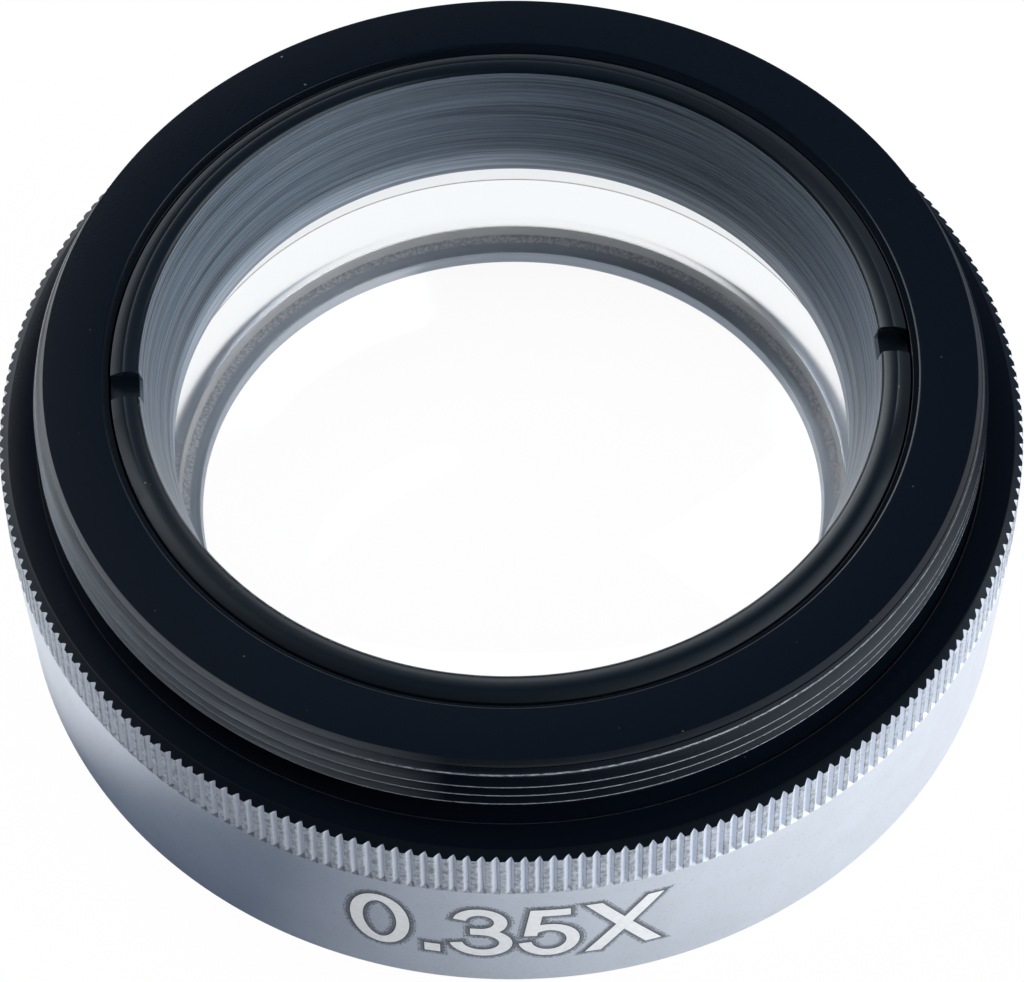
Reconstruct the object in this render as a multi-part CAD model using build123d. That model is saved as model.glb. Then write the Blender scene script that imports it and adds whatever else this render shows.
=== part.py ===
"""Screw-in auxiliary objective for a stereo microscope, standing on its lower face with the thread up.

Units are millimetres. +Z runs up the optical axis and the origin is the centre of the lower face.
A turned housing holds a cemented pair of lenses on a seat near its foot. A retaining ring, screwed in
from the top, presses on the rim of the upper lens. Widths and insets are measured across the radius.
"""

import os
from math import ceil, radians, sqrt, tan

from build123d import *

# Housing
overall_height = 17.9
body_taper = 0.5
foot_chamfer = 0.3

# Threaded boss on top, with the thread starting above the flange
thread_diameter = 48.0
thread_pitch = 0.75
thread_angle = 60.0
thread_crest = 0.125
thread_root = 0.125
thread_start = 0.76
boss_height = 4.75
lead_chamfer_width = 0.6
lead_chamfer_height = 1.3
relief_depth = 1.0
relief_height = 1.0
relief_run_out = 0.6
step_margin = 0.06
step_depth = 0.12

# Knurled flange below the boss
flange_width = 2.0
flange_chamfer = 0.42
grip_height = 3.45
groove_count = 234
groove_width = 0.44
groove_depth = 0.22
groove_lean = 0.07
groove_margin = 0.05

# Bore: wall inside the thread, mouth, shoulder round the lens pocket, seat and aperture flaring out below
boss_wall = 3.85
lip_chamfer = 0.35
shoulder_width = 1.7
seat_width = 1.05
seat_height = 1.55
flare_width = 2.0
flare_height = 1.1

# Cemented pair of lenses
lens_clearance = 0.05
lens_proud = 0.4
lens_rim_width = 0.5
lens_bevel = 0.25
upper_edge_height = 3.2
lower_edge_height = 6.75
top_curve_radius = 60.0
cement_curve_radius = 45.0
bottom_curve_radius = 150.0
cement_gap = 0.02

# Retaining ring
ring_clearance = 0.1
ring_recess = 0.02
ring_chamfer_width = 0.55
ring_chamfer_height = 0.28
ring_lead_chamfer = 0.3
ring_overlap = 1.2
ring_land_height = 1.2
mouth_taper = 1.4
mouth_bevel = 0.12
slot_width = 1.5
slot_depth = 0.8
slot_angle = 3.2

# Heights along the axis
flange_z = overall_height - boss_height
knurl_foot_z = flange_z - grip_height
lower_rim_z = seat_height + lower_edge_height
upper_foot_z = lower_rim_z + cement_gap
lens_top_z = upper_foot_z + upper_edge_height
shoulder_z = lens_top_z - lens_proud
ring_top_z = overall_height - ring_recess

# Radii outside the thread, then inwards from it to the lens and the openings round it
thread_radius = thread_diameter / 2
relief_radius = thread_radius - relief_depth
step_radius = thread_radius + step_margin
grip_radius = thread_radius + flange_width
foot_radius = grip_radius - body_taper
bore_radius = thread_radius - boss_wall
ring_radius = bore_radius - ring_clearance
pocket_radius = bore_radius - shoulder_width
lens_radius = pocket_radius - lens_clearance
lens_clear_radius = lens_radius - lens_rim_width
aperture_radius = lens_radius - seat_width
throat_radius = lens_radius - ring_overlap
mouth_radius = throat_radius + mouth_taper


def sag(curve_radius, height):
    """Depth of a spherical surface at a height from its axis."""
    return curve_radius - sqrt(curve_radius**2 - height**2)


def dish(curve_radius, edge_radius, centre_z, rise=1):
    """A lens surface in section, an arc from its centre on the axis out to its edge."""
    middle = edge_radius / 2
    return ThreePointArc(
        (0, centre_z),
        (middle, centre_z + rise * sag(curve_radius, middle)),
        (edge_radius, centre_z + rise * sag(curve_radius, edge_radius)),
    )


def turned(*outline):
    """A solid turned about Z from a closed outline of lines and arcs in X and Z."""
    return revolve(make_face([Plane.XZ * edge for edge in outline]), Axis.Z)


def make_housing():
    """One turned piece: foot, body, knurled flange, threaded boss and stepped bore."""
    relief_top_z = flange_z + relief_height
    outline = Polyline(
        (aperture_radius + flare_width, 0),
        (foot_radius - foot_chamfer, 0),
        (foot_radius, foot_chamfer),
        (grip_radius, knurl_foot_z),
        (grip_radius, flange_z - flange_chamfer),
        (grip_radius - flange_chamfer, flange_z),
        (step_radius, flange_z),
        (step_radius, flange_z - step_depth),
        (relief_radius, flange_z - step_depth),
        (relief_radius, relief_top_z),
        (thread_radius, relief_top_z + relief_run_out),
        (thread_radius, overall_height - lead_chamfer_height),
        (thread_radius - lead_chamfer_width, overall_height),
        (bore_radius + lip_chamfer, overall_height),
        (bore_radius, overall_height - lip_chamfer),
        (bore_radius, shoulder_z),
        (pocket_radius, shoulder_z),
        (pocket_radius, seat_height),
        (aperture_radius, seat_height),
        (aperture_radius, flare_height),
        close=True,
    )
    return turned(outline) - thread_grooves() - knurl_grooves()


def thread_grooves():
    """Right-hand thread groove in half turns, from the open relief up past the top face."""
    flank = tan(radians(thread_angle / 2))
    depth = (thread_pitch - thread_crest - thread_root) / 2 / flank
    root = thread_root / 2
    mouth = root + (depth + groove_margin) * flank
    rise = thread_pitch / 2
    path = Helix(thread_pitch, rise, thread_radius)
    section = Polygon((-depth, -root), (groove_margin, -mouth), (groove_margin, mouth), (-depth, root), align=None)
    half_turn = sweep(Plane(path @ 0, x_dir=(1, 0, 0), z_dir=path % 0) * section, path, is_frenet=True)
    count = ceil((boss_height + mouth - thread_start) / rise)
    return [Pos(Z=flange_z + thread_start + k * rise) * Rot(Z=180 * k) * half_turn for k in range(count)]


def knurl_grooves():
    """Straight V grooves round the flange, leaning to one side and open at the top."""
    short_flank = groove_width / 2 - groove_lean
    long_flank = groove_width / 2 + groove_lean
    flare = 1 + groove_margin / groove_depth
    section = Polygon(
        (grip_radius - groove_depth, groove_lean),
        (grip_radius + groove_margin, groove_lean + short_flank * flare),
        (grip_radius + groove_margin, groove_lean - long_flank * flare),
        align=None,
    )
    groove = Pos(Z=knurl_foot_z) * extrude(section, grip_height)
    return [place * groove for place in PolarLocations(0, groove_count)]


def make_upper_lens():
    """Upper element: hollow on top, bulging down into the lower element."""
    top_centre_z = lens_top_z - sag(top_curve_radius, lens_clear_radius)
    foot_centre_z = upper_foot_z - sag(cement_curve_radius, lens_radius)
    return turned(
        Line((0, foot_centre_z), (0, top_centre_z)),
        dish(top_curve_radius, lens_clear_radius, top_centre_z),
        Polyline(
            (lens_clear_radius, lens_top_z),
            (lens_radius - lens_bevel, lens_top_z),
            (lens_radius, lens_top_z - lens_bevel),
            (lens_radius, upper_foot_z),
        ),
        dish(cement_curve_radius, lens_radius, foot_centre_z),
    )


def make_lower_lens():
    """Lower element: hollow on both sides, standing with a flat rim on the seat."""
    rim_radius = lens_radius - lens_bevel
    top_centre_z = lower_rim_z - sag(cement_curve_radius, lens_radius)
    rim_z = top_centre_z + sag(cement_curve_radius, rim_radius)
    foot_centre_z = seat_height + sag(bottom_curve_radius, lens_clear_radius)
    return turned(
        Line((0, foot_centre_z), (0, top_centre_z)),
        dish(cement_curve_radius, rim_radius, top_centre_z),
        Polyline(
            (rim_radius, rim_z),
            (lens_radius, rim_z - lens_bevel),
            (lens_radius, seat_height + lens_bevel),
            (rim_radius, seat_height),
            (lens_clear_radius, seat_height),
        ),
        dish(bottom_curve_radius, lens_clear_radius, foot_centre_z, rise=-1),
    )


def make_retaining_ring():
    """Ring with a tapered mouth and two spanner slots across its top face."""
    outline = Polyline(
        (throat_radius, lens_top_z),
        (ring_radius - ring_lead_chamfer, lens_top_z),
        (ring_radius, lens_top_z + ring_lead_chamfer),
        (ring_radius, ring_top_z - ring_chamfer_height),
        (ring_radius - ring_chamfer_width, ring_top_z),
        (mouth_radius + mouth_bevel, ring_top_z),
        (mouth_radius, ring_top_z - mouth_bevel),
        (throat_radius, lens_top_z + ring_land_height),
        close=True,
    )
    slots = Rot(Z=slot_angle) * Box(3 * ring_radius, slot_width, 2 * slot_depth)
    return turned(outline) - Pos(Z=ring_top_z) * slots


def main():
    pieces = {
        "housing": make_housing(),
        "lower_lens": make_lower_lens(),
        "upper_lens": make_upper_lens(),
        "retaining_ring": make_retaining_ring(),
    }
    os.makedirs("parts", exist_ok=True)
    for name, piece in pieces.items():
        export_step(piece, f"parts/{name}.step")


main()
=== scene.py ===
import math
import random
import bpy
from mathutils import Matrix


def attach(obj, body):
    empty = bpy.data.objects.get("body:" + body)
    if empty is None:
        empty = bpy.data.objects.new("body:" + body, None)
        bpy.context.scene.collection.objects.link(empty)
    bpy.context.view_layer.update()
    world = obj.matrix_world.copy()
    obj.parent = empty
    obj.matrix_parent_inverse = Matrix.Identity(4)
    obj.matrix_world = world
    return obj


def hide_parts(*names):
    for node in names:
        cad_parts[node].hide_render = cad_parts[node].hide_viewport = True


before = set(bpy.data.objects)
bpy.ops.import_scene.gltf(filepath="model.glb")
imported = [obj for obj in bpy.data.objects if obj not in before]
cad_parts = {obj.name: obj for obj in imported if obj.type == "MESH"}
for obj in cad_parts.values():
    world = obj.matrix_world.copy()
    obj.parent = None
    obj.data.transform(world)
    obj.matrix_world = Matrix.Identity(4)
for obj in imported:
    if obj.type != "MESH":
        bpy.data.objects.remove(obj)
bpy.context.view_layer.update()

from types import SimpleNamespace

import bmesh
import bpy
from mathutils import Matrix

scene = bpy.context.scene
scene.view_settings.view_transform = "Standard"
mm = 0.001
tau = 2 * math.pi
print("frame loaded:", sorted(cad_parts))


# shader and geometry nodes

class Wire:  # a node socket that takes part in sums; other nodes come from node()
    def __init__(self, tree, socket=None):
        self.tree = tree
        self.socket = socket

    def plug(self, entry, value):
        if isinstance(value, Wire):
            self.tree.links.new(value.socket, entry)
        else:
            entry.default_value = value

    def node(self, kind, settings=None, sockets=None, out=0):
        made = self.tree.nodes.new(kind)
        for key, value in (settings or {}).items():
            setattr(made, key, value)
        for key, value in (sockets or {}).items():
            self.plug(made.inputs[key], value)
        return Wire(self.tree, made.outputs[out] if made.outputs else None)

    def other(self, name):  # another output of the same node
        return Wire(self.tree, self.socket.node.outputs[name])

    def math(self, operation, *values):
        return self.node("ShaderNodeMath", {"operation": operation}, dict(enumerate(values)))

    def __add__(self, value): return self.math("ADD", self, value)
    def __radd__(self, value): return self.math("ADD", value, self)
    def __sub__(self, value): return self.math("SUBTRACT", self, value)
    def __rsub__(self, value): return self.math("SUBTRACT", value, self)
    def __mul__(self, value): return self.math("MULTIPLY", self, value)
    def __rmul__(self, value): return self.math("MULTIPLY", value, self)
    def __truediv__(self, value): return self.math("DIVIDE", self, value)
    def __rtruediv__(self, value): return self.math("DIVIDE", value, self)
    def __pow__(self, value): return self.math("POWER", self, value)

    def least(self, value): return self.math("MINIMUM", self, value)
    def most(self, value): return self.math("MAXIMUM", self, value)
    def size(self): return self.math("ABSOLUTE", self)
    def cos(self): return self.math("COSINE", self)
    def sin(self): return self.math("SINE", self)
    def limit(self): return self.math("MULTIPLY", self, 1.0).clipped()  # held between 0 and 1

    def clipped(self):  # the same for the Math node that this wire comes from
        self.socket.node.use_clamp = True
        return self

    def ramp(self, low, high):  # 0 at low, 1 at high, held outside
        return ((self - low) * (1 / (high - low))).clipped()

    def blend(self, one, two):  # colour one where self is 0, two where it is 1
        return self.node("ShaderNodeMix", {"data_type": "RGBA"}, {0: self, 6: one, 7: two}, out=2)


def tone(red, green, blue):
    return (red, green, blue, 1.0)


def darker(colour, share):
    return tone(*[c * share for c in colour[:3]])


def startMaterial(name):
    mat = bpy.data.materials.new(name)
    mat.use_nodes = True
    mat.node_tree.nodes.clear()
    return mat, Wire(mat.node_tree)


def endMaterial(graph, shader):
    graph.node("ShaderNodeOutputMaterial", None, {"Surface": shader})


def principled(mat, graph, sockets):
    endMaterial(graph, graph.node("ShaderNodeBsdfPrincipled", None, sockets))
    return mat


def places(graph):  # object coordinates: the point, its distance from the axis, its angle and height in mm
    point = graph.node("ShaderNodeTexCoord").other("Object")
    x = graph.node("ShaderNodeSeparateXYZ", None, {0: point})
    y, z = x.other("Y"), x.other("Z")
    radius = (x * x + y * y) ** 0.5 * 1000
    return SimpleNamespace(point=point, radius=radius, angle=graph.math("ARCTAN2", y, x), z=z * 1000)


def noise(graph, point, scale, detail, rough):
    return graph.node("ShaderNodeTexNoise", None,
                      {"Vector": point, "Scale": scale, "Detail": detail, "Roughness": rough})


def vector(graph, x, y, z):
    return graph.node("ShaderNodeCombineXYZ", None, {0: x, 1: y, 2: z})


def wrapped(graph, angle, height, across, up):  # a point for patterns that run round the axis
    return vector(graph, angle.cos() * across, angle.sin() * across, height * up)


def facing(angle, degrees, low, high):  # 1 on the side at that angle, fading out round the axis
    return (angle - math.radians(degrees)).cos().ramp(low, high)


def bumped(graph, height, strength=1.0, distance=1.0, under=None):
    sockets = {"Strength": strength, "Distance": distance, "Height": height}
    if under:
        sockets["Normal"] = under
    return graph.node("ShaderNodeBump", None, sockets)


# finishes: heights and radii are in mm, pairs are the ends of a ramp, noises are scale, detail and roughness

silver = {
    "paint": tone(0.70, 0.76, 0.86), "pit": tone(0.16, 0.18, 0.21), "edge": tone(0.012, 0.014, 0.018),
    "metal": 0.83, "knurlDull": 0.38, "rough": 0.34, "grainRough": 0.12, "knurlRough": 0.22,
    "knurl": (9.65, 9.8), "land": (25.94, 25.97), "blackFrom": (12.85, 12.89),
    "grain": (5200, 3.0, 0.6), "cloud": (300, 3.0, 0.55), "torn": (3400, 4.0, 0.7), "cover": (9000, 2.0, 0.6),
    "pits": (0.56, 0.76), "pitDark": 0.16, "knurlPitDark": 0.1, "clear": (0.25, 0.6), "cloudDark": 0.08,
    "tears": (0.40, 0.62), "tornLeast": 0.35, "tornDark": 0.78, "tornSink": -0.6,
    "bump": 0.4, "bumpDepth": 0.00003,
}


def silverPaint(name, shade, cover=None):  # cover: ends of the ramp that thins the paint to specks
    s = silver
    mat, g = startMaterial(name)
    at = places(g)
    grain = noise(g, at.point, *s["grain"])
    cloud = noise(g, at.point, *s["cloud"])
    onKnurl = at.z.ramp(*s["knurl"])
    onLand = onKnurl * at.radius.ramp(*s["land"])
    torn = noise(g, at.point, *s["torn"]).ramp(*s["tears"])
    worn = (s["tornLeast"] + torn * (1 - s["tornLeast"])) * onLand  # the rolled lands keep a torn, darker skin
    pits = grain.ramp(*s["pits"]) * (s["pitDark"] + onKnurl * s["knurlPitDark"])
    dark = (worn * s["tornDark"] + pits + (1 - cloud.ramp(*s["clear"])) * s["cloudDark"]).limit()
    colour = dark.blend(darker(s["paint"], shade), s["pit"])
    colour = at.z.ramp(*s["blackFrom"]).blend(colour, s["edge"])
    return principled(mat, g, {
        "Base Color": colour,
        "Metallic": s["metal"] - onKnurl * s["knurlDull"],
        "Roughness": s["rough"] + grain * s["grainRough"] + onKnurl * s["knurlRough"],
        "Alpha": noise(g, at.point, *s["cover"]).ramp(*cover) if cover else 1.0,
        "Normal": bumped(g, grain + worn * s["tornSink"], s["bump"], s["bumpDepth"])})


black = {
    # bare: the light grey of the painted crest highlights; the dust tone also paints the highlight round the step
    "base": tone(0.0026, 0.0050, 0.0100), "dustAndGlint": tone(0.10, 0.11, 0.12), "bare": tone(0.33, 0.37, 0.42),
    # the painted sheen tone: a lighter grey standing in for a reflection on one side
    "paintedSheen": tone(0.172, 0.196, 0.226), "sheen": tone(0.80, 0.90, 1.0), "gloss": 0.20, "rough": 0.20,
    "grainRough": 0.08, "bossRough": 0.06, "leadRough": 0.15, "rimRough": 0.22, "bump": 0.12, "bumpDepth": 0.00002,
    "boss": (14.3, 14.4), "bossRadius": (23.4, 23.43), "lead": (16.55, 16.65), "rim": (25.52, 25.57),
    "grain": (7000, 2.0, 0.6), "lint": (3200, 1.0, 0.5), "lintSpecks": (0.81, 0.84),
    "streak": (5, 3), "broken": (14.0, 4.0, 0.75), "fleck": (46.0, 2.0, 0.6), "flecks": (0.70, 0.76), "fleckDust": 0.6,
    "drawn": (2, 7), "scratch": (3.0, 4.0, 0.7), "scratches": (0.4, 0.6),
    "paintedSheenSide": (218, 0.72, 0.94), "paintedSheenLeast": 0.72, "leadKept": 0.4,  # painted sheen side: degrees, then the fade
    "crest": 16.35, "pitch": 0.75, "phase": 0.28, "crestWidth": (0.035, 0.075), "crestTop": (17.15, 17.25),
    "crestBreaks": (0.38, 0.56), "sideKept": 0.9,
    # step: a painted highlight in a line round the step on the flange
    "step": 24.08, "stepWidth": (0.03, 0.06), "stepTop": (13.3, 13.4), "stepBreaks": (0.3, 0.6), "stepGlint": 0.35,
    "lip": 20.15, "lipWidth": 0.30, "lipTop": (17.4, 17.45), "lipFlat": -1.3,
    "brow": 25.58, "browSide": (297, 0.70, 0.90), "browFlat": 0.80,
}


def blackFinish():
    b = black
    mat, g = startMaterial("blackFinish")
    at = places(g)
    grain = noise(g, at.point, *b["grain"])
    lint = noise(g, at.point, *b["lint"]).ramp(*b["lintSpecks"])
    onBoss = at.z.ramp(*b["boss"]) * at.radius.ramp(*b["bossRadius"])
    onLead = at.z.ramp(*b["lead"]) * onBoss
    onRim = at.radius.ramp(*b["rim"])
    side = facing(at.angle, *b["paintedSheenSide"])  # painted sheen: lighter grey on one side, standing in for a reflection
    outline = at.z + at.radius
    streak = wrapped(g, at.angle, outline, *b["streak"])
    broken = noise(g, streak, *b["broken"])
    scratch = noise(g, wrapped(g, at.angle, outline, *b["drawn"]), *b["scratch"])

    # painted highlights along the thread crests and in a line round the step, dust in flecks, a painted sheen on one
    # side
    turn = (at.z - b["crest"]) / b["pitch"] - at.angle / tau + b["phase"]
    away = (g.math("FRACT", turn) - 0.5).size()  # 0 along the crests
    # painted highlight: light grey lines along the thread crests, broken up, kept off the painted sheen side
    crest = (1 - away.ramp(*b["crestWidth"])) * onBoss * (1 - at.z.ramp(*b["crestTop"]))
    bare = crest * broken.ramp(*b["crestBreaks"]) * (1 - side * b["sideKept"])
    fleck = noise(g, streak, *b["fleck"]).ramp(*b["flecks"]) * onBoss * b["fleckDust"]
    # painted highlight round the step edge, broken up, in the dust tone
    step = (1 - (at.radius - b["step"]).size().ramp(*b["stepWidth"])) * (1 - at.z.ramp(*b["stepTop"]))
    dustAndGlint = (lint + fleck + step * broken.ramp(*b["stepBreaks"]) * b["stepGlint"]).limit()
    # the painted sheen on one side, broken by the scratch lines, weaker on the lead
    worn = b["paintedSheenLeast"] + scratch.ramp(*b["scratches"]) * (1 - b["paintedSheenLeast"])
    paintedSheen = side * onBoss * worn * (1 - onLead * b["leadKept"])
    colour = paintedSheen.blend(dustAndGlint.blend(b["base"], b["dustAndGlint"]), b["paintedSheen"])

    lip = (at.radius - b["lip"]).most(0.0).least(b["lipWidth"]) * at.z.ramp(*b["lipTop"])  # turned over to nearly flat
    brow = (at.radius - b["brow"]).most(0.0) * facing(at.angle, *b["browSide"])  # flange edge, flatter in front
    flat = bumped(g, lip * (b["lipFlat"] * mm) + brow * (b["browFlat"] * mm))
    rough = b["rough"] + grain * b["grainRough"] + onBoss * b["bossRough"]
    return principled(mat, g, {
        "Base Color": bare.blend(colour, b["bare"]),
        "Roughness": rough + onLead * scratch * b["leadRough"] + onRim * b["rimRough"],
        "Specular IOR Level": b["gloss"], "Specular Tint": b["sheen"],
        "Normal": bumped(g, grain + scratch * onLead, b["bump"], b["bumpDepth"], flat)})


ringTone = {
    # wall and land: painted light, greys far lighter than the black base, for the light the ridged wall and the land
    # catch
    "base": tone(0.0036, 0.0070, 0.0115), "wall": tone(0.122, 0.158, 0.205), "land": tone(0.41, 0.49, 0.60),
    "rough": 0.28, "grainRough": 0.06, "edge": (19.45, 19.6), "edgeRough": 0.10, "gloss": 0.27,
    "grain": (6000, 2.0, 0.6), "lint": (3000, 1.0, 0.5), "lintSpecks": (0.80, 0.83),
    "flat": 19.5, "flatTop": (17.6, 17.65), "fall": -0.22,
    "outer": 19.4, "outerTop": (17.5, 17.55), "back": (-0.40, -0.15), "outerFlat": 0.45,
    "turned": (0.35, 2.6), "streak": (2.0, 5.0, 0.85), "streaks": (0.36, 0.62), "streakLeast": 0.30,
    "streakRough": 0.12, "wallGloss": 0.30, "landTop": (12.22, 13.32),
}


def ringFinish():
    r = ringTone
    mat, g = startMaterial("ringFinish")
    at = places(g)
    grain = noise(g, at.point, *r["grain"])
    inside = (r["flat"] - at.radius).most(0.0) * at.z.ramp(*r["flatTop"])  # the top falls off to the mouth
    back = at.angle.sin().ramp(*r["back"])
    outside = (at.radius - r["outer"]).most(0.0) * at.z.ramp(*r["outerTop"]) * back  # edge broken flatter at the back
    return principled(mat, g, {
        "Base Color": noise(g, at.point, *r["lint"]).ramp(*r["lintSpecks"]).blend(r["base"], black["dustAndGlint"]),
        "Roughness": r["rough"] + grain * r["grainRough"] + at.radius.ramp(*r["edge"]) * r["edgeRough"],
        "Specular IOR Level": r["gloss"], "Specular Tint": black["sheen"],
        "Normal": bumped(g, inside * inside * (r["fall"] * mm) + outside * (r["outerFlat"] * mm))})


def ringWall():  # turned in fine lines against stray light; its grey is painted light, lighter than the black ring
    r = ringTone
    mat, g = startMaterial("ringWall")
    at = places(g)
    streak = noise(g, wrapped(g, at.angle, at.z, *r["turned"]), *r["streak"])
    # painted light: the plain land below the ridges is lighter still, for light from below
    onLand = 1 - at.z.ramp(*r["landTop"])
    cut = r["streakLeast"] + streak.ramp(*r["streaks"]) * (1 - r["streakLeast"])
    return principled(mat, g, {
        "Base Color": cut.blend(r["base"], onLand.blend(r["wall"], r["land"])),
        "Roughness": r["rough"] + streak * r["streakRough"],
        "Specular IOR Level": r["wallGloss"], "Specular Tint": black["sheen"]})


seat = {"tone": tone(0.56, 0.64, 0.76), "groove": 0.75, "metal": 0.3, "rough": 0.32, "grooveRough": 0.1,
        "every": 6, "lines": (3.0, 2.0, 0.6), "cut": (0.3, 0.7)}


def turnedSeat():
    mat, g = startMaterial("turnedSeat")
    at = places(g)
    lines = noise(g, vector(g, at.radius * seat["every"], at.z * seat["every"], 0.0), *seat["lines"])
    return principled(mat, g, {
        "Base Color": lines.ramp(*seat["cut"]).blend(darker(seat["tone"], seat["groove"]), seat["tone"]),
        "Metallic": seat["metal"], "Roughness": seat["rough"] + lines * seat["grooveRough"]})


glass = {
    "tint": tone(0.999, 1.0, 1.0), "index": 1.55, "coat": tone(0.06, 0.06, 0.07), "cementIndex": 1.0,
    "upper": tone(0.86, 0.88, 0.90), "lower": tone(0.95, 0.97, 0.99), "cement": tone(0.55, 0.55, 0.56),
    "rim": tone(0.45, 0.49, 0.56), "grain": (5200, 3.0, 0.6), "wave": (700, 2.0, 0.5),
    "joint": 8.31, "jointFade": 0.05, "jointWave": 0.12, "lineWave": 0.06, "lineWidth": (0.04, 0.11),
    "foot": (1.66, 1.71), "rimGrain": (0.4, 0.6), "lift": 3.65, "lowest": 2.7, "lean": 0.067,
    "mirror": (2.55, 2.95), "rough": 0.10, "grainRough": 0.06,
}


def polishedGlass():
    mat, g = startMaterial("polishedGlass")
    return principled(mat, g, {
        "Base Color": glass["tint"], "Roughness": 0.0, "IOR": glass["index"], "Transmission Weight": 1.0,
        "Specular Tint": glass["coat"]})  # coated against reflections


def cementedFace():  # the two glasses meet in clear cement, so light runs straight through
    mat, g = startMaterial("cementedFace")
    return principled(mat, g, {
        "Base Color": glass["tint"], "Roughness": 0.0, "IOR": glass["cementIndex"], "Transmission Weight": 1.0})


def groundEdge():  # seen from inside the glass, where the edge throws the light from below back
    e = glass
    mat, g = startMaterial("groundEdge")
    at = places(g)
    grain = noise(g, at.point, *e["grain"])
    wave = noise(g, at.point, *e["wave"]) - 0.5
    high = (at.z + wave * e["jointWave"]).ramp(e["joint"] - e["jointFade"], e["joint"] + e["jointFade"])
    line = 1 - (at.z - e["joint"] + wave * e["lineWave"]).size().ramp(*e["lineWidth"])
    colour = (line * (0.5 + grain * 0.5)).blend(high.blend(e["lower"], e["upper"]), e["cement"])
    onRim = 1 - at.z.ramp(*e["foot"])
    colour = (onRim * (0.5 + grain.ramp(*e["rimGrain"]) * 0.5)).blend(colour, e["rim"])
    low = (e["lift"] - at.z.most(e["lowest"])).most(0.0)  # the foot leans out, so it still shows the light from below
    return principled(mat, g, {
        "Base Color": colour, "Metallic": at.z.ramp(*e["mirror"]), "Roughness": e["rough"] + grain * e["grainRough"],
        "Normal": bumped(g, low * low * (e["lean"] * mm))})


markSet = {"grain": (4200, 3.0, 0.6), "cover": (0.35, 0.7), "thin": 0.9, "grainRough": 0.1}


def markPaint(name, base, rough):
    mat, g = startMaterial(name)
    grain = noise(g, places(g).point, *markSet["grain"])
    return principled(mat, g, {
        "Base Color": grain.ramp(*markSet["cover"]).blend(darker(base, markSet["thin"]), base),
        "Roughness": rough + grain * markSet["grainRough"]})


finish = {
    "silver": silverPaint("silverPaint", 1.0),
    "black": blackFinish(),
    "ring": ringFinish(),
    "wall": ringWall(),
    "glass": polishedGlass(),
    "cement": cementedFace(),
    "ground": groundEdge(),
    "seat": turnedSeat(),
    "markWhite": markPaint("markWhite", tone(0.93, 0.965, 1.0), 0.40),
    "markEdge": markPaint("markEdge", tone(0.07, 0.08, 0.095), 0.5),
    "markShade": silverPaint("markShade", 0.46, (0.22, 0.66)),
    "markHaze": silverPaint("markHaze", 0.60, (0.36, 0.84)),
}
print("finishes made:", len(finish))


# meshes

def addPiece(name, mesh):
    piece = bpy.data.objects.new(name, mesh)
    scene.collection.objects.link(piece)
    return piece


def softOutline(corners, steps=3):  # (radius, height, softening): each corner becomes a small curve
    outline = []
    for i, (r, z, soft) in enumerate(corners):
        if not soft or i in (0, len(corners) - 1):
            outline.append((r, z))
            continue
        ends = []
        for j in (i - 1, i + 1):
            dr, dz = corners[j][0] - r, corners[j][1] - z
            cut = soft / math.hypot(dr, dz)
            ends.append((r + dr * cut, z + dz * cut))
        for k in range(steps + 1):
            t = k / steps
            a, b, c = (1 - t) ** 2, 2 * t * (1 - t), t * t
            outline.append((a * ends[0][0] + b * r + c * ends[1][0], a * ends[0][1] + b * z + c * ends[1][1]))
    return outline


def tidyMesh(mesh, sharpAt, merge=2e-7, flat=1e-8):  # distances in m
    shape = bmesh.new()
    shape.from_mesh(mesh)
    bmesh.ops.remove_doubles(shape, verts=shape.verts, dist=merge)
    bmesh.ops.dissolve_degenerate(shape, edges=shape.edges, dist=flat)
    bmesh.ops.recalc_face_normals(shape, faces=shape.faces)
    shape.to_mesh(mesh)
    shape.free()
    mesh.shade_smooth()
    mesh.set_sharp_from_angle(angle=math.radians(sharpAt))


def columnPoints(columns):  # columns of (x, y, z) in mm
    return [(x * mm, y * mm, z * mm) for column in columns for x, y, z in column]


def spun(name, columns, finishOf, closed=True):  # columns joined round the axis
    mesh = bpy.data.meshes.new(name)
    rows = len(columns[0])
    faces, slots = [], []
    for c in range(len(columns)):
        d = (c + 1) % len(columns)
        for r in range(rows if closed else rows - 1):
            s = (r + 1) % rows
            faces.append((c * rows + r, d * rows + r, d * rows + s, c * rows + s))
            slots.append(finishOf(r))
    mesh.from_pydata(columnPoints(columns), [], faces)
    mesh.polygons.foreach_set("material_index", slots)
    return mesh


def around(outline, angle):
    return [(r * math.cos(angle), r * math.sin(angle), z) for r, z in outline]


# housing: one tooth sector, repeated round the axis, with a helical thread let into the boss

housing = {
    "height": 17.9, "footRadius": 25.5, "footChamfer": 0.3,
    "gripRadius": 26.0, "flangeZ": 13.15, "knurlFoot": 9.7, "flangeChamfer": 0.42,
    "teeth": 234, "grooveWidth": 0.44, "grooveDepth": 0.22, "grooveLean": 0.07, "grooveRunOut": 0.15,
    "stepRadius": 24.06, "stepDepth": 0.12, "reliefRadius": 23.0, "reliefTop": 14.15, "runOut": 0.6,
    "crestRadius": 24.0, "pitch": 0.75, "threadDepth": 0.433, "rowsPerPitch": 6, "crestAtFront": 16.35,
    "leadWidth": 0.6, "leadHeight": 1.3,
    "boreRadius": 20.15, "lip": 0.35, "shoulderZ": 11.12, "pocketRadius": 18.45,
    "seatZ": 1.55, "apertureRadius": 17.35, "flareWidth": 2.0, "flareHeight": 1.1,
    "paintedFoot": 9, "sharpAt": 32,  # rows of the foot down to the lower face; degrees
}
columnsPerTooth = 3


def toothAngles():
    h = housing
    half = math.asin(h["grooveWidth"] / 2 / h["gripRadius"])
    apex = math.atan2(h["grooveLean"], h["gripRadius"] - h["grooveDepth"])
    return -half, apex, half


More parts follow.
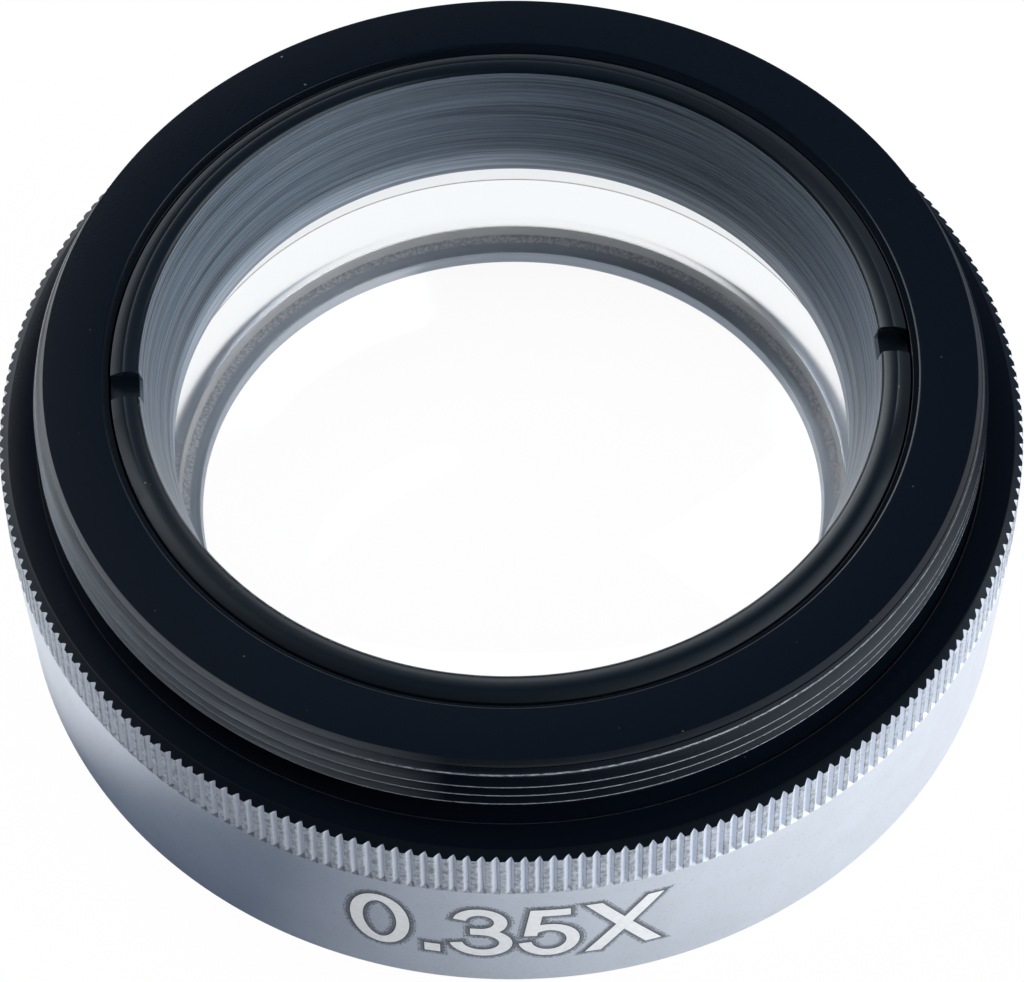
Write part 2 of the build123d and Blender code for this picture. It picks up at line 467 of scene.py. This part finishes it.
def toothSector():
    h = housing
    chamferFoot = h["flangeZ"] - h["flangeChamfer"]
    top = softOutline([
        (h["reliefRadius"], h["reliefTop"], 0),
        (h["reliefRadius"], h["flangeZ"] - h["stepDepth"], 0.06),
        (h["stepRadius"], h["flangeZ"] - h["stepDepth"], 0),
        (h["stepRadius"], h["flangeZ"], 0.04),
        (h["gripRadius"] - h["flangeChamfer"], h["flangeZ"], 0.05),
        (h["gripRadius"], chamferFoot, 0)])
    foot = softOutline([
        (h["gripRadius"], h["knurlFoot"], 0),
        (h["footRadius"], h["footChamfer"], 0.12),
        (h["footRadius"] - h["footChamfer"], 0, 0.1),
        (h["apertureRadius"] + h["flareWidth"], 0, 0.05),
        (h["apertureRadius"], h["flareHeight"], 0.05),
        (h["apertureRadius"], h["seatZ"], 0.04),
        (h["pocketRadius"], h["seatZ"], 0),
        (h["pocketRadius"], h["shoulderZ"], 0.05),
        (h["boreRadius"], h["shoulderZ"], 0),
        (h["boreRadius"], h["height"] - h["lip"], 0.05),
        (h["boreRadius"] + h["lip"], h["height"], 0.06),
        (h["crestRadius"] - h["leadWidth"], h["height"], 0)])
    plain = top + [(h["gripRadius"], h["knurlFoot"])] + foot
    groove = list(plain)
    low = h["gripRadius"] - h["grooveDepth"]
    groove[len(top) - 1] = (low, chamferFoot + h["grooveDepth"])
    groove[len(top)] = (low, h["knurlFoot"] + h["grooveRunOut"])  # the groove runs out in a slope
    first, apex, last = toothAngles()
    columns = [around(plain, first), around(groove, apex), around(plain, last),
               around(plain, first + tau / h["teeth"])]
    mesh = bpy.data.meshes.new("toothSector")
    rows = len(plain)
    faces = [(c * rows + r, (c + 1) * rows + r, (c + 1) * rows + r + 1, c * rows + r + 1)
             for c in range(columnsPerTooth) for r in range(rows - 1)]
    mesh.from_pydata(columnPoints(columns), [], faces)

    lastPainted = len(top) + 1 + h["paintedFoot"]
    painted = [len(top) - 1 <= r <= lastPainted for r in range(rows - 1)]
    bare = [r > lastPainted and plain[r + 1][0] < h["pocketRadius"] + 0.01 for r in range(rows - 1)]
    for name, marks in (("painted", painted), ("bare", bare)):  # bare: aperture and seat, turned after the finish
        mesh.attributes.new(name, "BOOLEAN", "FACE").data.foreach_set("value", marks * columnsPerTooth)
    return mesh


def housingTree():
    h = housing
    first, apex, last = toothAngles()
    values = {
        "Teeth": h["teeth"], "First": first, "Apex": apex, "Last": last,
        "Pitch": h["pitch"], "Crest": h["crestRadius"], "Depth": h["threadDepth"], "Rows": h["rowsPerPitch"],
        "Top": h["height"], "Low": h["reliefTop"],
        "Lead Radius": h["crestRadius"] - h["leadWidth"], "Lead Slope": h["leadWidth"] / h["leadHeight"],
        "Relief Radius": h["reliefRadius"], "Relief Slope": (h["crestRadius"] - h["reliefRadius"]) / h["runOut"],
        "Crest Height": h["crestAtFront"]}
    tree = bpy.data.node_groups.new("housingTree", "GeometryNodeTree")
    tree.interface.new_socket("Geometry", in_out="INPUT", socket_type="NodeSocketGeometry")
    for name, value in values.items():
        kind = "NodeSocketInt" if isinstance(value, int) else "NodeSocketFloat"
        tree.interface.new_socket(name, in_out="INPUT", socket_type=kind)
    tree.interface.new_socket("Geometry", in_out="OUTPUT", socket_type="NodeSocketGeometry")
    g = Wire(tree)
    given = g.node("NodeGroupInput")
    of = {name: given.other(name) for name in values}

    # teeth round the axis
    line = g.node("GeometryNodeMeshLine", None, {"Count": of["Teeth"], "Offset": (0, 0, 0)})
    turn = g.node("GeometryNodeInputIndex") * tau / of["Teeth"]
    teeth = g.node("GeometryNodeInstanceOnPoints", None, {
        "Points": line, "Instance": given.other("Geometry"),
        "Rotation": g.node("FunctionNodeEulerToRotation", None, {0: vector(g, 0, 0, turn)})})
    teeth = g.node("GeometryNodeRealizeInstances", None, {0: teeth})

    # thread: a grid whose columns are the teeth's and whose rows climb with the helix, held between relief and top
    crestHalf, rootFrom = 1 / 12, 5 / 12  # in pitches, from the middle of the crest
    frontTurn = 0.75  # the front is three quarters of a turn round
    across = of["Teeth"] * columnsPerTooth
    reach = (of["Top"] - of["Low"]) / of["Pitch"] + 2
    up = g.math("CEIL", reach * of["Rows"])
    grid = g.node("GeometryNodeMeshGrid", None, {
        "Size X": across, "Size Y": up, "Vertices X": across + 1, "Vertices Y": up + 1})
    spot = g.node("ShaderNodeSeparateXYZ", None, {0: g.node("GeometryNodeInputPosition")})
    column = g.math("ROUND", spot + across * 0.5)
    row = g.math("ROUND", spot.other("Y") + up * 0.5)
    tooth = g.math("FLOOR", (column + 0.5) / columnsPerTooth)
    k = g.math("ROUND", column - tooth * columnsPerTooth)
    bend = k * (k - 1) * 0.5
    angle = (tooth * tau / of["Teeth"] + of["First"] + k * (of["Apex"] - of["First"])
             + bend * (of["Last"] - 2 * of["Apex"] + of["First"]))
    start = of["Crest Height"] - of["Pitch"] * (frontTurn + crestHalf)
    base = start - g.math("CEIL", (start - of["Low"]) / of["Pitch"] + 1) * of["Pitch"]
    climb = base + row / of["Rows"] * of["Pitch"] + angle / tau * of["Pitch"]
    z = climb.most(of["Low"]).least(of["Top"])
    away = (g.math("FRACT", row / of["Rows"] - crestHalf + 0.5 + 1e-4) - 0.5).size()
    radius = of["Crest"] - away.ramp(crestHalf, rootFrom) * of["Depth"]
    radius = radius.least(of["Lead Radius"] + (of["Top"] - z) * of["Lead Slope"])
    radius = radius.least(of["Relief Radius"] + (z - of["Low"]) * of["Relief Slope"])
    place = vector(g, radius * angle.cos() * mm, radius * angle.sin() * mm, z * mm)
    thread = g.node("GeometryNodeSetPosition", None, {"Geometry": grid, "Position": place})

    both = g.node("GeometryNodeJoinGeometry")
    for half in (teeth, thread):
        tree.links.new(half.socket, both.socket.node.inputs[0])
    whole = g.node("GeometryNodeMergeByDistance", None, {"Geometry": both, "Distance": 1e-6})
    whole = g.node("GeometryNodeRealizeInstances", None, {0: whole})
    whole = g.node("GeometryNodeSetMaterial", None, {"Geometry": whole, "Material": finish["black"]})
    for mark, key in (("painted", "silver"), ("bare", "seat")):
        marked = g.node("GeometryNodeInputNamedAttribute", {"data_type": "BOOLEAN"}, {"Name": mark})
        whole = g.node("GeometryNodeSetMaterial", None, {
            "Geometry": whole, "Selection": marked, "Material": finish[key]})
    g.node("NodeGroupOutput", None, {0: whole})
    return tree, values


def grown(source, tree, values):  # runs the tree on a mesh and gives back a plain mesh
    holder = addPiece(source.name + "Holder", source)
    modifier = holder.modifiers.new("grow", "NODES")
    modifier.node_group = tree
    for item in tree.interface.items_tree:
        if item.in_out == "INPUT" and item.name in values:
            modifier[item.identifier] = values[item.name]
    made = bpy.data.meshes.new_from_object(holder.evaluated_get(bpy.context.evaluated_depsgraph_get()))
    holder.modifiers.remove(modifier)
    bpy.data.objects.remove(holder)
    return made


def makeHousing():
    mesh = grown(toothSector(), *housingTree())
    mesh.name = "housingShell"
    tidyMesh(mesh, housing["sharpAt"])
    piece = addPiece("housingShell", mesh)
    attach(piece, "root")
    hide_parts("housing")
    print("housing:", len(mesh.polygons), "faces")


# retaining ring: finely ridged mouth, two spanner slots

ring = {
    "foot": 11.52, "top": 17.88, "radius": 20.05, "lead": 0.3, "chamferWidth": 0.55, "chamferHeight": 0.28,
    "mouthRadius": 18.6, "mouthBevel": 0.12, "throatRadius": 17.2, "land": 1.2,
    "ridges": 28, "ridgeDepth": 0.022, "ridgeShift": 0.08, "uneven": 0.5, "seed": 7,
    "ridgeRows": ((0.12, 0), (0.45, 0), (0.72, 1)),  # crest, flat and valley: share of a ridge, depth
    "slotWidth": 1.5, "slotDepth": 0.8, "slotAngle": 3.2, "columns": 360, "sharpAt": 28,
}


def ringOutline():
    r = ring
    rand = random.Random(r["seed"])
    outside = softOutline([
        (r["throatRadius"], r["foot"], 0),
        (r["radius"] - r["lead"], r["foot"], 0.05),
        (r["radius"], r["foot"] + r["lead"], 0.05),
        (r["radius"], r["top"] - r["slotDepth"], 0),
        (r["radius"], r["top"] - r["chamferHeight"], 0.05),
        (r["radius"] - r["chamferWidth"], r["top"], 0.28),
        (r["mouthRadius"] + r["mouthBevel"], r["top"], 0.10),
        (r["mouthRadius"], r["top"] - r["mouthBevel"], 0)])
    high, low = r["top"] - r["mouthBevel"], r["foot"] + r["land"]
    shift, uneven = r["ridgeShift"], r["uneven"]
    wall = []
    for k in range(r["ridges"]):
        for share, depth in r["ridgeRows"]:
            t = (k + share + rand.uniform(-shift, shift) * uneven) / r["ridges"]
            deep = depth * r["ridgeDepth"] * (1 + rand.uniform(-1, 1) * uneven)
            wall.append((r["mouthRadius"] + (r["throatRadius"] - r["mouthRadius"]) * t + deep,
                         high + (low - high) * t))
    return outside + wall + [(r["throatRadius"], low)], len(outside) - 1


def makeRing():
    r = ring
    outline, mouth = ringOutline()
    floor = r["top"] - r["slotDepth"]
    sunk = [(x, min(z, floor)) for x, z in outline]
    half = r["slotWidth"] / 2
    columns = []
    reach = math.asin(half / r["throatRadius"])
    steps = r["columns"] // 2
    for side in (0, math.pi):
        middle = math.radians(r["slotAngle"]) + side
        for sign, shape in ((-1, outline), (-1, sunk), (1, sunk), (1, outline)):  # straight, parallel slot walls
            columns.append([(x * math.cos(middle + sign * math.asin(half / x)),
                             x * math.sin(middle + sign * math.asin(half / x)), z) for x, z in shape])
        for k in range(1, steps):
            angle = middle + reach + (math.pi - 2 * reach) * k / steps
            columns.append(around(outline, angle))
    mesh = spun("retainingRing", columns, lambda row: int(row >= mouth))
    for key in ("ring", "wall"):
        mesh.materials.append(finish[key])
    tidyMesh(mesh, r["sharpAt"])
    piece = addPiece("retainingRing", mesh)
    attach(piece, "root")
    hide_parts("retaining_ring")
    print("retaining ring:", len(mesh.polygons), "faces")


# cemented lens pair

lens = {
    "radius": 18.4, "rim": 0.5, "bevel": 0.25, "seat": 1.55, "lowerEdge": 6.75, "upperEdge": 3.2, "gap": 0.02,
    "topCurve": 60.0, "cementCurve": 45.0, "bottomCurve": 150.0,
    "jointBevel": 0.012, "footBevel": 0.12, "footLift": 0.02, "rings": 28, "columns": 288, "sharpAt": 25,
}


def sag(curve, height):
    return curve - math.sqrt(curve * curve - height * height)


def dishRows(curve, edge, centreZ, rise=1):  # from the middle out to the edge
    n = lens["rings"]
    return [(edge * k / n, centreZ + rise * sag(curve, edge * k / n)) for k in range(n + 1)]


def makeLens(name, node, parts):  # parts: rows of (radius, height) with a finish index, from axis to axis
    outline, marks = [], []
    for rows, mark in parts:
        for spot in rows:
            if outline and math.dist(outline[-1], spot) < 1e-9:
                continue
            if outline:
                marks.append(mark)
            outline.append(spot)
    columns = [around(outline, tau * c / lens["columns"]) for c in range(lens["columns"])]
    mesh = spun(name, columns, lambda row: marks[row], closed=False)
    for key in ("glass", "ground", "cement"):
        mesh.materials.append(finish[key])
    tidyMesh(mesh, lens["sharpAt"])
    piece = addPiece(name, mesh)
    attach(piece, "root")
    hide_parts(node)
    print(name + ":", len(mesh.polygons), "faces")


def makeLenses():
    n = lens
    polished, ground, cemented = 0, 1, 2
    clear, rimIn = n["radius"] - n["rim"], n["radius"] - n["bevel"]
    foot = n["seat"] + n["footLift"]  # a hair above the seat, so that the two faces don't fight
    lowerTop = n["seat"] + n["lowerEdge"]
    upperFoot = lowerTop + n["gap"]
    top = upperFoot + n["upperEdge"]
    dip = sag(n["cementCurve"], n["radius"])
    jointIn = n["radius"] - n["jointBevel"]
    rimZ = lowerTop - dip + sag(n["cementCurve"], jointIn)
    makeLens("upperLens", "upper_lens", [
        (dishRows(n["topCurve"], clear, top - sag(n["topCurve"], clear)), polished),
        ([(clear, top), (rimIn, top), (n["radius"], top - n["bevel"]), (n["radius"], upperFoot)], ground),
        (dishRows(n["cementCurve"], n["radius"], upperFoot - dip)[::-1], cemented)])
    makeLens("lowerLens", "lower_lens", [
        (dishRows(n["cementCurve"], jointIn, lowerTop - dip), cemented),
        ([(jointIn, rimZ), (n["radius"], rimZ - n["jointBevel"]), (n["radius"], foot + n["footBevel"]),
          (n["radius"] - n["footBevel"], foot), (clear, foot)], ground),
        (dishRows(n["bottomCurve"], clear, foot + sag(n["bottomCurve"], clear), -1)[::-1], polished)])


# magnification figure on the body

def bow(cx, cy, rx, ry, first, last, steps=26):  # part of an ellipse, in degrees
    turns = [math.radians(first + (last - first) * k / steps) for k in range(steps + 1)]
    return [(cx + rx * math.cos(t), cy + ry * math.sin(t)) for t in turns]


figure = {  # each mark with its left, right, foot and top in mm, along the curve from the middle and up the body
    "marks": (("0", -7.79, -4.76, 3.06, 8.16), (".", -4.07, -3.27, 3.07, 3.88), ("3", -2.62, 0.35, 2.99, 7.99),
              ("5", 0.75, 3.69, 3.00, 7.90), ("X", 3.90, 7.94, 3.00, 8.00)),
    "strokes": {  # middle lines of the strokes, from 0 to 1 across and up
        "0": [bow(0.5, 0.5, 0.5, 0.5, 0, 360, 48)],
        "3": [bow(0.46, 0.76, 0.44, 0.24, 172, -90), bow(0.46, 0.26, 0.54, 0.26, 90, -172),
              [(0.24, 0.52), (0.46, 0.52)]],
        "5": [[(0.94, 1.0), (0.24, 1.0)], [(0.22, 1.078), (0.07, 0.43)],
              bow(0.47, 0.32, 0.53, 0.32, 125, -170)],
        "X": [[(0.04, 1.08), (0.96, -0.08)], [(0.96, 1.08), (0.04, -0.08)]]},
    "middle": 268.6, "along": 25.8, "half": 0.33, "wider": {"X": 1.25}, "slice": 0.25, "sunk": -0.01,
    "layers": (  # name, finish, how far it spreads past the strokes and stands proud, in mm
        ("figureHaze", "markHaze", 0.36, 0.013), ("figureShade", "markShade", 0.22, 0.017),
        ("figureEdge", "markEdge", 0.07, 0.021), ("figure", "markWhite", 0, 0.026)),
}


def bodyRadius(z):
    h = housing
    share = (z - h["footChamfer"]) / (h["knurlFoot"] - h["footChamfer"])
    return h["footRadius"] + (h["gripRadius"] - h["footRadius"]) * share


def strokeSolid(shape, line, level, half, grow, proud):  # a raised ribbon along a line of (arc, height) points in mm
    f = figure
    closed = math.dist(line[0], line[-1]) < 1e-6
    if closed:
        line = line[:-1]
    count = len(line)
    rows = []
    for k, (x, z) in enumerate(line):
        before = line[(k - 1) % count] if closed or k else line[k]
        after = line[(k + 1) % count] if closed or k < count - 1 else line[k]
        dx, dz = after[0] - before[0], after[1] - before[1]
        long = math.hypot(dx, dz)
        if not closed and k in (0, count - 1):  # the ends grow too
            push = grow / long * (1 if k else -1)
            x, z = x + dx * push, z + dz * push
        ax, az = (half + grow, 0.0) if level else (-dz / long * (half + grow), dx / long * (half + grow))
        row = []
        for sign, lift in ((1, proud), (-1, proud), (-1, f["sunk"]), (1, f["sunk"])):
            px, pz = x + sign * ax, z + sign * az
            r, turn = bodyRadius(pz) + lift, math.radians(f["middle"]) + px / f["along"]
            row.append(shape.verts.new((r * math.cos(turn) * mm, r * math.sin(turn) * mm, pz * mm)))
        rows.append(row)
    for k in range(count if closed else count - 1):
        one, two = rows[k], rows[(k + 1) % count]
        for j in range(4):
            shape.faces.new((one[j], two[j], two[(j + 1) % 4], one[(j + 1) % 4]))
    if not closed:
        shape.faces.new(rows[0])
        shape.faces.new(rows[-1][::-1])


def markSolids(shape, word, left, right, foot, top, grow, proud):
    f = figure
    half = f["half"]
    if word == ".":  # a plain block
        half = (top - foot) / 2
        lines = [[(left, foot + half), (right, foot + half)]]
    else:
        lines = [[(left + half + x * (right - left - 2 * half), foot + half + y * (top - foot - 2 * half))
                  for x, y in stroke] for stroke in f["strokes"][word]]
    for line in lines:
        level = False
        if len(line) == 2:
            level = all(p != q for p, q in zip(*line))  # a slanting stroke is cut level at both ends
            cuts = max(2, math.ceil(math.dist(*line) / f["slice"]))
            line = [tuple(p + (q - p) * k / cuts for p, q in zip(*line)) for k in range(cuts + 1)]
        strokeSolid(shape, line, level, half * f["wider"].get(word, 1.0), grow, proud)


def makeFigure(name, finishKey, grow, proud):
    whole = bmesh.new()
    for mark in figure["marks"]:
        markSolids(whole, *mark, grow, proud)
    bmesh.ops.recalc_face_normals(whole, faces=whole.faces)
    mesh = bpy.data.meshes.new(name)
    whole.to_mesh(mesh)
    whole.free()
    mesh.materials.append(finish[finishKey])
    piece = addPiece(name, mesh)
    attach(piece, "root")
    print(name + ":", len(mesh.polygons), "faces")


makeHousing()
makeRing()
makeLenses()
for layer in figure["layers"]:
    makeFigure(*layer)


# floor, light and camera

floorSet = {  # places in m
    "half": 1.5, "level": -2e-5, "white": tone(0.90, 0.90, 0.90), "share": 0.98, "least": (0.085, 0.110, 0.155),
    "front": (-0.13, -0.06), "back": (0.035, 0.012), "backSkew": (0.027, 0.6), "left": (-0.0228, -0.0272),
    "right": (-0.004, 0.029), "turn": -24, "under": (0.0185, 0.018),
}


def makeFloor():
    f = floorSet
    mesh = bpy.data.meshes.new("floor")
    s, z = f["half"], f["level"]
    mesh.from_pydata([(-s, -s, z), (s, -s, z), (s, s, z), (-s, s, z)], [], [(0, 1, 2, 3)])
    mat, g = startMaterial("whiteFloor")
    path = g.node("ShaderNodeLightPath")
    camera, through, glossy = [path.other("Is " + kind + " Ray") for kind in ("Camera", "Transmission", "Glossy")]
    x = g.node("ShaderNodeSeparateXYZ", None, {0: g.node("ShaderNodeTexCoord").other("Object")})
    y = x.other("Y")
    turn = math.radians(f["turn"])
    skewFrom, skew = f["backSkew"]
    right = (x * math.cos(turn) + y * math.sin(turn)).ramp(*f["right"]) * (y + (x - skewFrom) * skew).ramp(*f["back"])
    room = right.most(x.ramp(*f["left"])) * y.ramp(*f["front"])  # in reflections the room is white to the sides alone
    room = room.most(((x * x + y * y) ** 0.5).ramp(*f["under"]))  # and under the lens
    mirrored = [glossy * (room * (1 - c) + c) for c in f["least"]]
    direct = camera.most(through)
    plain = g.node("ShaderNodeBsdfDiffuse", None, {"Color": f["white"]})
    glow = g.node("ShaderNodeEmission", None, {
        "Color": vector(g, *[direct.most(m) for m in mirrored]), "Strength": 1.0})
    seen = (camera * f["share"]).most(through).most(glossy)  # the rest of the camera's share keeps the shadow
    endMaterial(g, g.node("ShaderNodeMixShader", None, {0: seen, 1: plain, 2: glow}))
    mesh.materials.append(mat)
    floor = addPiece("floor", mesh)


lamps = {  # place, width and height in m, watts
    "rightWall": ((0.395, -0.144, 0.22), (0.62, 0.42), 3.65),
    "leftWall": ((-0.300, 0.294, 0.22), (0.45, 0.42), 2.9),
    "backWall": ((0.02, 0.45, 0.215), (0.60, 0.17), 0.8),
}
worldTone = tone(0.008, 0.011, 0.016)


def makeLamps():
    for name, (place, (wide, high), watts) in lamps.items():
        lamp = bpy.data.lights.new(name, "AREA")
        lamp.shape = "RECTANGLE"
        lamp.size, lamp.size_y = wide, high
        lamp.energy = watts
        holder = addPiece(name, lamp)
        holder.location = place
        holder.rotation_euler = (-holder.location).to_track_quat("-Z", "Y").to_euler()
    world = bpy.data.worlds.new("studio")
    world.use_nodes = True
    world.node_tree.nodes["Background"].inputs["Color"].default_value = worldTone
    scene.world = world


view = {"distance": 0.26, "elevation": 54.053, "pitch": 1.4357, "roll": 0.7822, "focalPixels": 5192.4,
        "imageWidth": 1024, "sensor": 36.0, "clipStart": 0.01}


def makeCamera():
    v = view
    cam = bpy.data.cameras.new("camera")
    cam.sensor_width = v["sensor"]
    cam.lens = v["focalPixels"] / v["imageWidth"] * v["sensor"]
    cam.clip_start = v["clipStart"]
    holder = addPiece("camera", cam)
    lift = math.radians(v["elevation"])
    place = (0, -v["distance"] * math.cos(lift), housing["height"] * mm + v["distance"] * math.sin(lift))
    tilt = Matrix.Rotation(math.radians(90 - v["elevation"] - v["pitch"]), 4, "X")
    roll = Matrix.Rotation(math.radians(-v["roll"]), 4, "Z")
    holder.matrix_world = Matrix.Translation(place) @ tilt @ roll
    scene.camera = holder


makeFloor()
makeLamps()
makeCamera()
print("stage set")
